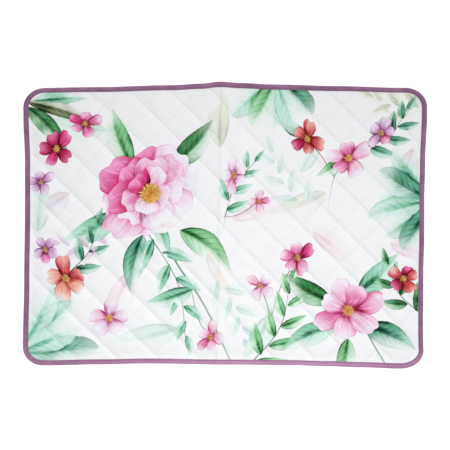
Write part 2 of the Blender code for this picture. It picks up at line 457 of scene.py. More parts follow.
# A leaf: half width is t^a (1-t)^b about a bent midrib. It is darkest at its base and along the
# midrib on one side, and washes out towards its tip and edge on the other.
def paintLeaf(ink, level, place, angle, length, width, tint, bend=0.12, belly=0.42, point=1.1,
              lit=1, strength=1.0, vein=1.0, waves=0.0, lost=0.8, soft=1.0):
    near, forward, side = localPlace(ink, place, angle, length * 1.15)
    t = forward / length
    side = side - bend * length * 2 * t * (1 - t)
    inside = np.clip(t, 0.001, 0.999)
    rise = point * belly / (1 - belly)
    shape = (inside / belly) ** rise * ((1 - inside) / (1 - belly)) ** point
    half = width / 2 * shape * (1 + waves * np.sin(inside * leafInk["waves"] + angle))
    edge = (half - np.abs(side)) * leafInk["edgeSlope"] - np.abs(t - inside) * length
    across = side / np.maximum(half, thinnest)
    seed = int(angle * 7 + length) % 997
    wash = softNoise(ink["x"][near], ink["y"][near], length * leafInk["wash"], seed)
    towards = across * lit
    accent = bell(towards, *leafInk["midrib"]) + leafInk["shadedEdge"] * between(-towards, *leafInk["shaded"])
    tone = (leafInk["atBase"] + leafInk["alongLeaf"] * t
            + leafInk["litSide"] * between(towards, *leafInk["lit"])
            - leafInk["atMidrib"] * accent * (1 - t) + leafInk["inPatches"] * wash)
    fade = 1 - (lost * between(towards, *leafInk["lostAcross"])
                * between(t + leafInk["lostPatches"] * wash, *leafInk["lostAlong"]))
    fade = strength * fade * (1 - leafInk["lostTipShare"] * lost * between(t, *leafInk["lostTip"]))
    layInk(ink, level, near, edge / soft, threeTones(tint, np.clip(tone, 0, 1)), t, across, vein, fade)


petalInk = {
    "edgeSlope": 0.9,
    "wash": 0.28,
    "waves": 13,                # of a ruffled end, in radians across the petal
    "notchWidth": 0.16,         # as a share of the petal's width
    "atBase": -0.1,
    "alongPetal": 1.05,
    "inPatches": 0.2,
    "fold": (0.3, 1.0),         # where across the petal its folded side lies
    "inFold": 0.75,             # what the tone loses there, and how much less at the end
    "foldFades": 0.5,
}


# A petal: half width is t^p times the root of 1 - t^q, its end waved or notched. Deep at its base
# and along one side.
def paintPetal(ink, level, place, angle, length, width, tint, narrow=0.75, round=4.0, notch=0.0,
               squash=(0.0, 1.0), lit=0.0, ruffle=0.0, seed=0, curl=0.0):
    near, forward, side = localPlace(ink, place, angle, length * 1.35, squash)
    side = side - curl * forward * forward / length
    sway = (1 + ruffle * np.sin(side / width * petalInk["waves"] + seed * 2.1)
            - notch * bell(side, 0, petalInk["notchWidth"] * width))
    t = forward / length / sway
    inside = np.clip(t, 0.001, 0.999)
    peak = (narrow / (narrow + round / 2)) ** (1 / round)
    shape = (inside / peak) ** narrow * np.sqrt((1 - inside ** round) / (1 - peak ** round))
    half = width / 2 * shape
    edge = np.minimum((half - np.abs(side)) * petalInk["edgeSlope"], (1 - t) * length)
    edge = edge - np.maximum(-t, 0) * length
    across = side / np.maximum(half, thinnest)
    wash = softNoise(ink["x"][near], ink["y"][near], length * petalInk["wash"], seed + 11)
    fold = between(across * np.sign(lit), *petalInk["fold"]) * abs(lit)
    tone = (t * petalInk["alongPetal"] + petalInk["atBase"] + petalInk["inPatches"] * wash
            - petalInk["inFold"] * fold * (1 - petalInk["foldFades"] * t))
    layInk(ink, level, near, edge, threeTones(tint, np.clip(tone, 0, 1)), inside, across,
           formKind["petal"], 1.0)


# A flower's centre: round, with the kind that gives it rays and specks in the shader.
def paintCentre(ink, level, place, radius, tint, squash=(0.0, 1.0)):
    near, forward, side = localPlace(ink, place, 0.0, radius * 3 + 6, squash)
    away = np.hypot(forward, side) / radius
    layInk(ink, level, near, (1 - away) * radius, threeTones(tint, np.clip(away, 0, 1)),
           forward / radius, side / radius, formKind["centre"], 1.0)


# A stroke along a smooth curve through its points. It keeps which side of it each place is on, so
# that a line thinner than the mesh's own spacing stays whole.
def paintStem(ink, points, startWidth, endWidth, tint="stem"):
    points = np.array(points, float)
    ends = np.concatenate([[2 * points[0] - points[1]], points, [2 * points[-1] - points[-2]]])
    t = np.linspace(0, 1, 15)[:-1, None]
    curve = []
    for a, b, c, d in zip(ends, ends[1:], ends[2:], ends[3:]):
        square, cube = 2 * a - 5 * b + 4 * c - d, 3 * b - a - 3 * c + d
        curve.append(0.5 * (2 * b + (c - a) * t + square * t ** 2 + cube * t ** 3))
    curve = np.concatenate(curve + [points[-1:]])
    reach = 8.0
    (left, low), (right, high) = curve.min(axis=0) - reach, curve.max(axis=0) + reach
    near = (ink["x"] > left) & (ink["x"] < right) & (ink["y"] > low) & (ink["y"] < high)
    here = np.stack([ink["x"][near], ink["y"][near]], axis=-1)[:, None]
    start, step = curve[:-1], np.diff(curve, axis=0)
    share = np.clip(((here - start) * step).sum(-1) / (step ** 2).sum(-1), 0, 1)
    away = here - (start + share[..., None] * step)
    distance = np.hypot(away[..., 0], away[..., 1])
    best = distance.argmin(axis=1)
    row = np.arange(len(best))
    offset = here[:, 0] - start[best]
    side = np.sign(step[best, 0] * offset[:, 1] - step[best, 1] * offset[:, 0])
    distance = distance[row, best]
    along = (best + share[row, best]) / len(start)
    stems = ink["stems"]
    wins = distance < stems["far"][near]
    picked = np.zeros_like(near)
    picked[near] = wins
    stems["far"][picked] = distance[wins]
    stems["side"][picked] = (distance * side)[wins]
    stems["half"][picked] = ((startWidth + (endWidth - startWidth) * along) / 2)[wins]
    stems["colour"][picked] = threeTones(tint, along)[wins]


# How much one petal or lobe differs from the next: a sine of its number, as (height, rate).
def differ(look, number, shift=0.0):
    height, rate = look
    return height * math.sin(rate * number + shift)


deeperTint = {"pink": "hotPink", "palePink": "pink", "whitePink": "palePink", "peach": "coral",
              "lilac": "pink", "coral": "magenta", "magenta": "hotPink"}
blossomLook = {
    "narrow": 0.62, "round": 3.4, "ruffle": 0.03,
    "centre": 0.08,             # radius, as a share of the flower's size
    # differences between its petals
    "angle": (6, 7), "length": (0.13, 3.3), "width": (0.1, 5), "lit": (0.7, 2.4), "curl": (0.12, 1),
}


# A small open flower: its petals take turns between layers, so that each laps its neighbour.
def paintBlossom(ink, place, size, petals, turn, tint, level, centre, tilt, deepOnes,
                 notch=0.0, flat=0.84, width=0.74):
    look, squash = blossomLook, (tilt, flat)
    for petal in range(petals):
        step = 2 if petal == petals - 1 and petals % 2 else petal % 2
        angle = turn + petal * 360 / petals + differ(look["angle"], petal, turn)
        length = size / 2 * (1 + differ(look["length"], petal, turn))
        wide = size / 2 * width * (1 + differ(look["width"], petal, turn))
        own = deeperTint[tint] if petal in deepOnes else tint
        paintPetal(ink, level + step, place, angle, length, wide, own, look["narrow"], look["round"],
                   notch, squash, lit=differ(look["lit"], petal, turn), ruffle=look["ruffle"],
                   seed=int(size + petal * 5 + turn), curl=differ(look["curl"], petal, turn))
    paintCentre(ink, min(level + 3, printLayers - 1), place, size * look["centre"], centre, squash)


bloomLook = {
    # petals, length, width, layer, narrowness at the base, roundness of the end
    "rings": ((8, 1.0, 0.86, 3, 0.46, 4.4), (7, 0.77, 0.70, 5, 0.5, 4.0), (5, 0.50, 0.52, 7, 0.6, 3.2)),
    "ringTurn": 23,
    "tints": ("whitePink", "palePink", "pink", "hotPink"),
    "tintFrom": (-1.2, 1.7),    # where the palest ends, and how many tints follow for each step
    "notch": 0.07, "ruffle": 0.035,
    "centre": 0.105,
    "centreShift": 0.03,
    # differences between its petals
    "angle": (7, 5.3), "facing": (0.45, 4.1), "length": (0.08, 2.7), "lit": (0.9, 1.9), "curl": (0.16, 2.2),
}


# The large double flower: rings of petals, deep pink on one side and pale on the other.
def paintBloom(ink, place, size, turn, squash, deepSide):
    look = bloomLook
    palest, steps = look["tintFrom"]
    for ring, (count, long, wide, level, narrow, round) in enumerate(look["rings"]):
        for petal in range(count):
            angle = turn + look["ringTurn"] * ring + petal * 360 / count + differ(look["angle"], petal, ring)
            facing = math.cos(math.radians(angle - deepSide)) + differ(look["facing"], petal, ring * 2)
            tint = look["tints"][int(np.clip((facing - palest) * steps, 0, 3))]
            length = size / 2 * long * (1 + differ(look["length"], petal, ring))
            notch = look["notch"] if petal % 3 == 1 else 0.0
            paintPetal(ink, level + petal % 2, place, angle, length, size / 2 * wide, tint, narrow, round,
                       notch, squash, lit=differ(look["lit"], petal, ring), ruffle=look["ruffle"],
                       seed=petal * 3 + ring * 17, curl=differ(look["curl"], petal, ring))
    lean, shift = math.radians(deepSide + 180), look["centreShift"] * size
    middle = (place[0] + shift * math.cos(lean), place[1] + shift * math.sin(lean))
    paintCentre(ink, printLayers - 1, middle, size * look["centre"], "gold", squash)


sprayLook = {
    "stemShownFrom": 0.6,       # fainter sprays have no stem
    "stemWidths": (1.4, 0.9),
    "firstLeaf": 0.7,           # bare stem before the first leaf and after the last, in leaves
    "lastLeaf": 0.3,
    "spread": (48, 16),         # a leaf's angle to the stem, and what that loses along it
    "shrink": 0.45,
    "bend": 0.12, "lost": 0.5,
}


# A stem with leaves on both sides, smaller towards its tip.
def paintSpray(ink, start, end, lean, leaves, length, width, tint, level=1, strength=1.0):
    look = sprayLook
    start, end = np.array(start, float), np.array(end, float)
    along = end - start
    middle = (start + end) / 2 + np.array([-along[1], along[0]]) * lean
    control = middle * 2 - (start + end) / 2
    if strength > look["stemShownFrom"]:
        paintStem(ink, (start, middle, end), *look["stemWidths"])
    heading = math.degrees(math.atan2(along[1], along[0]))
    for index in range(leaves):
        share = (index + look["firstLeaf"]) / (leaves + look["lastLeaf"])
        place = start * (1 - share) ** 2 + 2 * share * (1 - share) * control + end * share ** 2
        side = 1 if index % 2 else -1
        spread = 0 if index == leaves - 1 else side * (look["spread"][0] - look["spread"][1] * share)
        turn = heading + spread - math.degrees(2 * lean) * (2 * share - 1)
        small = 1 - look["shrink"] * share
        paintLeaf(ink, level + index % 2, place, turn, length * small, width * small, tint,
                  bend=look["bend"] * side, lit=side, strength=strength, lost=look["lost"])


fanLook = {
    "belly": 0.62, "point": 0.62, "waves": 0.035, "lost": 0.85,
    "length": (0.12, 2.3), "bend": (0.05, 1.7),         # differences between its lobes
}


# A broad leaf of several lobes from one point, each pleated and shaded along one side.
def paintFan(ink, place, angles, length, width, names):
    look = fanLook
    for index, angle in enumerate(angles):
        long = length * (1 + differ(look["length"], index, length))
        paintLeaf(ink, 1 + index % 2, place, angle, long, width, names[index % len(names)],
                  bend=differ(look["bend"], index), belly=look["belly"], point=look["point"],
                  lit=1 if index % 2 else -1, waves=look["waves"], lost=look["lost"])


ghostLeaves = (     # x, y, direction, length, width, tint, strength
    (-150, 118, 168, 78, 30, "mintPale", 0.42), (58, -112, 240, 74, 28, "mintPale", 0.5),
    (-8, 96, 84, 74, 30, "yellowGreen", 0.4), (208, -22, 340, 62, 26, "palePink", 0.3),
    (-24, -34, 300, 70, 26, "sand", 0.3), (-236, -8, 82, 70, 30, "mintPale", 0.5),
    (10, 8, 22, 84, 34, "palePink", 0.24), (128, 40, 200, 76, 30, "yellowGreen", 0.26),
    (-60, -130, 190, 90, 34, "mintPale", 0.42), (236, 96, 250, 62, 26, "lilac", 0.35),
    (112, -8, 320, 66, 26, "palePink", 0.3), (-196, 40, 210, 52, 24, "lilac", 0.3),
    (96, 66, 60, 60, 26, "mintPale", 0.36), (-120, -60, 240, 70, 30, "palePink", 0.3),
)
leaves = (          # x, y, direction, length, width, tint, layer, bend, lit side
    (-118, 74, 108, 77, 30, "spring", 1, 0.14, 1), (-68, 74, 48, 77, 30, "green", 1, -0.12, -1),
    (-136, 14, 206, 77, 30, "mint", 1, 0.12, 1), (-58, -6, 322, 85, 33, "spring", 2, 0.14, -1),
    (-104, -12, 258, 75, 28, "teal", 1, -0.1, 1), (-90, 8, 288, 54, 17, "mint", 2, 0.1, -1),
    (-42, -80, 196, 61, 23, "mint", 1, 0.12, 1), (-246, 156, -20, 88, 19, "olive", 1, 0.1, 1),
    (-248, 150, -50, 77, 23, "green", 2, 0.1, -1), (-240, 158, 2, 68, 18, "mint", 1, 0.06, 1),
    (136, -96, 150, 72, 28, "green", 1, 0.12, 1), (168, -84, 44, 72, 30, "mint", 1, -0.12, -1),
    (140, -126, 204, 74, 28, "mint", 2, -0.1, 1), (176, -126, 338, 72, 30, "teal", 1, 0.1, -1),
    (156, -140, 256, 55, 23, "spring", 1, 0.1, 1), (150, 84, 214, 42, 16, "spring", 1, 0.1, 1),
    (104, 112, 150, 40, 16, "teal", 1, 0.1, -1),
)
fans = (            # x, y, directions, length, width, tints
    (262, 30, (128, 150, 172, 194, 216, 238), 76, 32, ("mint", "teal", "mintPale", "mint")),
    (-258, -160, (4, 24, 44, 64, 86), 90, 36, ("teal", "mintPale", "mint", "mintPale", "green")),
    (66, 186, (222, 244, 266, 290, 314), 70, 30, ("mint", "spring", "mintPale", "mintPale", "teal")),
)
blossoms = (        # x, y, size, petals, turn, tint, layer, centre, tilt, petals that are deeper
    (-212, 96, 50, 5, 40, "magenta", 4, "gold", 70, (0, 3)),
    (-176, 128, 40, 5, 8, "pink", 3, "gold", 10, (2,)),
    (-232, 54, 34, 5, 20, "lilac", 3, "mustard", 40, ()),
    (-200, -66, 58, 5, 30, "peach", 4, "mustard", 140, (0, 1)),
    (-146, -116, 54, 5, 12, "whitePink", 4, "gold", 20, (2,)),
    (-226, -30, 36, 5, 50, "lilac", 3, "mustard", 90, (3,)),
    (156, 84, 56, 5, 20, "palePink", 4, "gold", 30, (1, 3)),
    (104, 108, 46, 5, 64, "coral", 3, "gold", 120, (2,)),
    (196, 116, 40, 5, 10, "lilac", 3, "mustard", 60, (4,)),
    (92, -40, 46, 5, 20, "pink", 4, "mustard", 60, (0,)),
    (46, -76, 40, 4, 50, "whitePink", 4, "mustard", 120, (1,)),
    (226, -66, 44, 5, 80, "coral", 4, "gold", 20, (0, 2)),
    (12, 62, 42, 5, 36, "whitePink", 4, "mustard", 80, (3,)),
    (44, 30, 30, 4, 10, "palePink", 3, "mustard", 20, (0,)),
    (-20, -140, 40, 5, 70, "palePink", 4, "mustard", 70, (2,)),
)
notched = (42, 0.1)     # five-petalled blossoms larger than this have petals notched this deep
openBloom = {"place": (156, -106), "size": 84, "petals": 7, "turn": 8, "tint": "palePink", "level": 4,
             "centre": "gold", "tilt": 15, "deepOnes": (0, 1, 4), "flat": 0.88, "width": 0.66}
doubleBloom = {"place": (-98, 42), "size": 132, "turn": 12, "squash": (35, 0.84), "deepSide": 140}
paleSprays = (      # start, end, lean, leaves, length, width, tint
    ((112, 16), (60, 100), 0.12, 7, 38, 15, "mintPale"),
    ((-16, -60), (26, -150), 0.1, 7, 40, 16, "mintPale"),
    ((-140, -20), (-214, -20), 0.1, 6, 36, 14, "lilac"),
    ((250, 150), (180, 166), 0.1, 6, 36, 14, "yellowGreen"),
)
sprays = (
    ((28, -180), (84, -62), -0.12, 9, 48, 17, "spring"),
    ((252, -112), (206, -40), 0.14, 6, 40, 15, "green"),
    ((0, 10), (44, 84), 0.1, 7, 36, 13, "mint"),
    ((172, 96), (228, 152), -0.16, 7, 40, 15, "teal"),
    ((-100, -6), (-50, -150), 0.1, 8, 46, 17, "mint"),
    ((-196, -60), (-160, 10), -0.12, 6, 36, 14, "teal"),
)
stems = (           # points, width at the start and at the end, tint
    (((-92, 24), (-66, -40), (-30, -96), (14, -182)), 2.6, 2.2, "stem"),
    (((168, -104), (184, -140), (210, -182)), 2.2, 2.0, "stem"),
    (((92, -40), (70, -80), (58, -120)), 1.3, 1.1, "stem"),
    (((46, -76), (56, -104), (58, -120)), 1.2, 1.1, "stem"),
    (((12, 62), (6, 30), (-4, -10)), 1.3, 0.3, "stem"),
    (((44, 30), (20, 14), (0, 10)), 1.1, 0.9, "twig"),
    (((156, 84), (138, 60), (130, 20)), 1.4, 0.3, "stem"),
    (((104, 108), (122, 86), (138, 60)), 1.2, 1.0, "twig"),
    (((196, 116), (184, 100), (172, 96)), 1.1, 0.9, "twig"),
    (((-20, -140), (-33, -122), (-40, -98), (-45, -74)), 1.2, 1.0, "stem"),
)


# The whole composition: a large bloom left of the middle, sprays and blossoms round it.
def paintMat(ink):
    for x, y, angle, length, width, tint, strength in ghostLeaves:
        paintLeaf(ink, 0, (x, y), angle, length, width, tint, strength=strength, vein=0.6, soft=1.6)
    for row in paleSprays:
        paintSpray(ink, *row, level=0, strength=0.5)
    for x, y, *row in fans:
        paintFan(ink, (x, y), *row)
    for row in stems:
        paintStem(ink, *row)
    for row in sprays:
        paintSpray(ink, *row)
    for x, y, angle, length, width, tint, level, bend, lit in leaves:
        paintLeaf(ink, level, (x, y), angle, length, width, tint, bend=bend, lit=lit)
    for x, y, size, petals, *row in blossoms:
        notch = notched[1] if petals == 5 and size > notched[0] else 0.0
        paintBlossom(ink, (x, y), size, petals, *row, notch=notch)
    paintBlossom(ink, **openBloom)
    paintBloom(ink, **doubleBloom)


print("helpers ready")

clothTone = {
    "seenWhite": 0.87,          # the light that bare cloth gives where the tints were chosen
    "ground": (221, 221, 223),
    "groundDull": (216, 217, 220),
    # the binding's mauve; mauveDull is its darker tone in random patches and also its painted shade along the
    # sewn edge, mauveLit its lighter tone in random patches and also its painted light along the front edge
    "mauve": (134, 95, 125),
    "mauveDull": (109, 75, 102),
    "mauveLit": (182, 135, 169),
    "thread": (226, 227, 230),
    "mauveThread": (122, 86, 116),
    "threadShade": 0.86,        # the darker parts of a thread's twist, as a share
    "threadNoise": (2500.0, 1.0),
}
panelSize = {
    "columns": 332,             # even numbers, so that the back can take every second point
    "rows": 230,
    "inset": 1.3,               # from the outline in to the panel's own edge, inside the binding
    "pressedWidth": 6.8,        # the binding presses the cloth flat as far in as this
    "rampEnd": 10.5,            # from here outwards the cloth rises into the binding
    "edgeRise": 1.0,
    "puffFull": 22.0,           # from here inwards the puffs have their full height
    "stitched": 1.5,            # thickness at a stitch line
    "puff": 1.7,
    # each family of lines: how much of the puff it takes away, and how flat the puff is between them
    "families": ((1.0, 3.5), (0.5, 6.0)),
    "diamond": 50.0,
    "crossing": (-4.2, 0.75),
    "gather": 0.22,             # height of the small waves beside a stitch line
    "gatherPitch": 6.5,
    "gatherReach": 4.5,
    "gatherStart": 1.2,         # they begin this far from the line
    "gatherApart": 37,          # from one line's part of the noise to the next line's
    "pull": 0.22,               # height of the waves along the binding
    "pullPitch": 19.0,
    "pullIn": 9.0,              # where they are highest, in from the outline
    "pullReach": 7.0,
    "creaseSlant": 0.6,
    "creaseStitched": 0.3,      # what is left of the creases at a stitch line
    "backDimple": 0.45,         # how far the stitches draw the back up
    "grooveDepth": (0.26, 0.62),        # drawn in by the thread itself, in the material, at the
    "grooveSpan": (-150.0, 150.0),      # left and at the right, which are these places along X
    "grooveWidth": 1.3,
    "grooveShares": (1.0, 0.6),     # the up-right lines are drawn in less
}
lineSpacing = panelSize["diamond"] / math.sqrt(2)       # between two lines of one family


# How far each family's lines stray from straight.
def lineStray(x, y):
    return uneven("firstLines", x, y), uneven("secondLines", x, y)


# Place across each family of stitch lines, counted in diamonds; the lines are at whole numbers.
def acrossDiamonds(x, y):
    fromX, fromY = x - panelSize["crossing"][0], y - panelSize["crossing"][1]
    first, second = lineStray(x, y)
    return (fromX + fromY) / panelSize["diamond"] + first, (fromX - fromY) / panelSize["diamond"] + second


# Product over both stitch families of 1 - d|2t - 1|^p, t being the place between two lines.
def puffShape(x, y):
    rise = np.ones_like(x)
    for place, (depth, flatness) in zip(acrossDiamonds(x, y), panelSize["families"]):
        rise = rise * (1 - depth * np.abs(2 * (place - np.floor(place)) - 1) ** flatness)
    return rise


# Small gathers beside each stitch line: a wave along the line, nothing on it and fading out.
def stitchGathers(x, y):
    total = np.zeros_like(x)
    first, second = acrossDiamonds(x, y)
    for name, across, along in (("firstGathers", first, second), ("secondGathers", second, first)):
        away = np.abs(across - np.round(across)) * lineSpacing
        run = along * lineSpacing
        shift = uneven(name, run, np.round(across) * panelSize["gatherApart"])
        wave = np.sin(2 * np.pi * run / panelSize["gatherPitch"] + shift)
        begun = away / (away + panelSize["gatherStart"])
        total += bell(away, 0, panelSize["gatherReach"]) * begun * wave
    return total


# Top and underside of the flat panel: stitched thickness, puffs and small unevenness.
def panelHeights(x, y):
    size = panelSize
    pressed = size["pressedWidth"]
    edge = edgeDistance(x, y)
    freed = np.sqrt(np.clip((edge - pressed) / (size["puffFull"] - pressed), 0, 1))
    low = size["edgeRise"] * between(edge, size["rampEnd"], pressed)
    puff = puffShape(x, y)
    back = low + size["backDimple"] * (1 - puff) ** 3 * freed
    puffs = size["puff"] * puff * (1 + uneven("puffs", x, y))
    gathers = size["gather"] * stitchGathers(x, y)
    creases = uneven("fineCreases", x + size["creaseSlant"] * y, y) + uneven("broadCreases", x, y)
    creases = creases * (size["creaseStitched"] + puff)
    pulls = size["pull"] * np.sin(2 * np.pi * (x + y) / size["pullPitch"] + uneven("edgePulls", x, y))
    pulls = pulls * bell(edge, size["pullIn"], size["pullReach"])
    return low + size["stitched"] + freed * (puffs + gathers + creases + pulls), back


# Flat grid: rows across the width, each reaching from one side of the outline to the other.
def panelGrid():
    inset = panelSize["inset"]
    y = np.linspace(-1, 1, panelSize["rows"] + 1)[:, None] * (halfWidth - inset)
    u = np.linspace(-1, 1, panelSize["columns"] + 1)[None, :]
    y, u = np.broadcast_arrays(y, u)
    radiusX, radiusY = cornerRadii(u, y)
    into = np.clip((np.abs(y) - (halfWidth - radiusY)) / (radiusY - inset), 0, 1)
    reach = flatHalfLength - radiusX + (radiusX - inset) * np.sqrt(1 - into ** 2)
    return u * reach, y.copy()


# Numbers of a grid's outer points, anticlockwise.
def border(rows, columns, first=0):
    number = np.arange(rows * columns).reshape(rows, columns) + first
    return np.concatenate([number[0, :-1], number[:-1, -1], number[-1, :0:-1], number[:0:-1, 0]])


# Three numbers and a fourth for each point of the face, and a filler for the points of the back.
def addAttribute(piece, name, three, fourth, filler):
    values = np.concatenate([three, fourth[..., None]], -1).reshape(-1, 4)
    spare = len(piece.data.vertices) - len(values)
    rows = np.concatenate([values, np.tile(np.array(filler, float), (spare, 1))])
    attribute = piece.data.attributes.new(name, "FLOAT_COLOR", "POINT")
    attribute.data.foreach_set("color", rows.astype(np.float32).ravel())


# Quilted panel: a fine grid for its face, a coarser one for its back, joined round the edge.
def buildPanel():
    x, y = panelGrid()
    backX, backY = x[::2, ::2], y[::2, ::2]
    facePoints = layDown(x, y, panelHeights(x, y)[0]).reshape(-1, 3)
    backPoints = layDown(backX, backY, panelHeights(backX, backY)[1]).reshape(-1, 3)
    quads = np.concatenate([gridQuads(*x.shape), gridQuads(*backX.shape, first=x.size, flip=True)])
    fine, coarse = border(*x.shape), border(*backX.shape, first=x.size)
    nextCoarse = np.roll(coarse, -1)
    start, middle, end = fine[::2], fine[1::2], np.roll(fine, -2)[::2]
    rim = np.concatenate([np.stack(corners, -1) for corners in (
        (middle, start, coarse), (end, middle, nextCoarse), (middle, coarse, nextCoarse))])
    flat = np.stack([np.append(x, backX), np.append(y, backY)], -1)
    quilt = np.stack(acrossDiamonds(*flat.T), -1)
    points = np.concatenate([facePoints, backPoints])
    piece = makeMesh("quiltedPanel", points, quads, rim, flat * metre, quilt)

    ink = emptyInk(x, y)
    paintMat(ink)
    for number, layer in enumerate(ink["layers"]):
        tone = np.clip(layer["colour"] / clothTone["seenWhite"], 0, 1)
        addAttribute(piece, f"ink{number}", tone, np.maximum(layer["edge"], farAway), (1, 1, 1, farAway))
        addAttribute(piece, f"form{number}", layer["form"][..., :3], layer["form"][..., 3], (0, 0, 0, 0))
    lines = ink["stems"]
    addAttribute(piece, "stems", lines["colour"], lines["side"], (1, 1, 1, -farAway))
    form = np.stack([lines["far"], lines["half"], lines["half"]], -1)
    addAttribute(piece, "stemsForm", form, lines["half"], (-farAway, 0, 0, 0))
    return piece


weaveSize = {
    "slubScale": 900.0,         # thick places in the yarn, for each metre
    "slubShare": 0.8,           # of the weave's height
    # pitch of the threads, turn of the weave, and its height
    "printedCotton": (0.42, 0.0, 0.01),
    "mauveCotton": (0.45, math.pi / 4, 0.02),
}


# Plain weave: two crossed rows of threads, and a slow unevenness of the yarn.
def weaveGroup():
    group, given, out = newGroup("plainWeave", (("Place", "Vector"), ("Pitch", "Float"), ("Turn", "Float")),
                                 (("Height", "Float"), ("Slub", "Float")))
    rotate = group.nodes.new("ShaderNodeVectorRotate")
    rotate.rotation_type = "Z_AXIS"
    feed(group, rotate.inputs["Vector"], given["Place"])
    feed(group, rotate.inputs["Angle"], given["Turn"])
    x, y, _ = splitXyz(group, rotate.outputs[0])
    waves = [calc(group, "SINE", times(group, calc(group, "DIVIDE", axis, given["Pitch"]), math.pi))
             for axis in (x, y)]
    feed(group, out["Height"], calc(group, "ABSOLUTE", times(group, *waves)))
    feed(group, out["Slub"], noise(group, rotate.outputs[0], weaveSize["slubScale"]))
    return group


# Rows of two or four numbers are ramps: from, to, and the values there if they aren't 0 and 1.
# The rows that end in Noise are scale, detail and roughness.
inkLook = {
    "wobbleNoise": (260.0, 3.0, 0.6),
    "grainNoise": (1100.0, 2.0, 0.7),
    "mottleNoise": (60.0, 2.0),
    "rayNoise": (7.0, 2.0, 0.6),
    "streakNoise": (1.0, 3.0, 0.6),
    "speckNoise": (7.0, 1.0),
    "wobble": 1.7,              # how far noise shifts an edge
    "spikes": 14.0,             # how far the rays shift a centre's edge
    "cover": (-0.25, 0.4),
    "rim": (0.1, 2.0, 1.0, 0.0),
    "streakStretch": (5.0, 1.6),        # streaks across and along a petal
    "streakShift": (40.0, 30.0),        # and from place to place on the mat
    "rib": (0.0, 0.1, 1.0, 0.0),
    "veins": 8.0,               # side veins along a leaf
    "veinSlant": -1.9,
    "veinBend": 0.5,
    "sideVein": (0.0, 0.2, 1.0, 0.0),
    "veinFade": (0.1, 1.0, 1.0, 0.25),
    "strand": (0.47, 0.66),
    "strandFade": (0.15, 1.0, 1.0, 0.3),
    "hair": (0.0, 0.09, 1.0, 0.0),
    "hairFade": (0.1, 0.95, 1.0, 0.2),
    "outline": (0.4, 1.4, 1.0, 0.0),
    "outlineBreaks": (0.36, 0.6, 0.15, 1.0),
    "gap": (0.42, 0.58, 1.0, 0.0),
    "gapFade": (0.1, 0.8),
    "speck": (0.52, 0.6),
    "pale": (0.48, 0.3),
    "behind": (-5.0, 0.0),
    "behindShare": (0.55, 0.95, 0.0, 0.5),
    # how much of each is laid on
    "shares": {"veins": 0.85, "strands": 0.9, "pale": 0.8, "rim": 0.7, "hairs": 0.6, "outline": 0.75,
               "grain": 0.3, "gaps": 0.75, "specks": 0.7},
    "deeperTint": (0.92, 0.89, 0.91, 1),
    "deepestTint": (0.86, 0.7, 0.8, 1),
    "gapTint": (0.13, 0.07, 0.01, 1),
    "speckTint": (0.95, 0.62, 0.18, 1),
    "lineWobble": 0.5,
    "lineCover": (-0.2, 0.25),
    "lineReach": (2.2, 2.8, 1.0, 0.0),
    "lineStrength": 0.92,
}


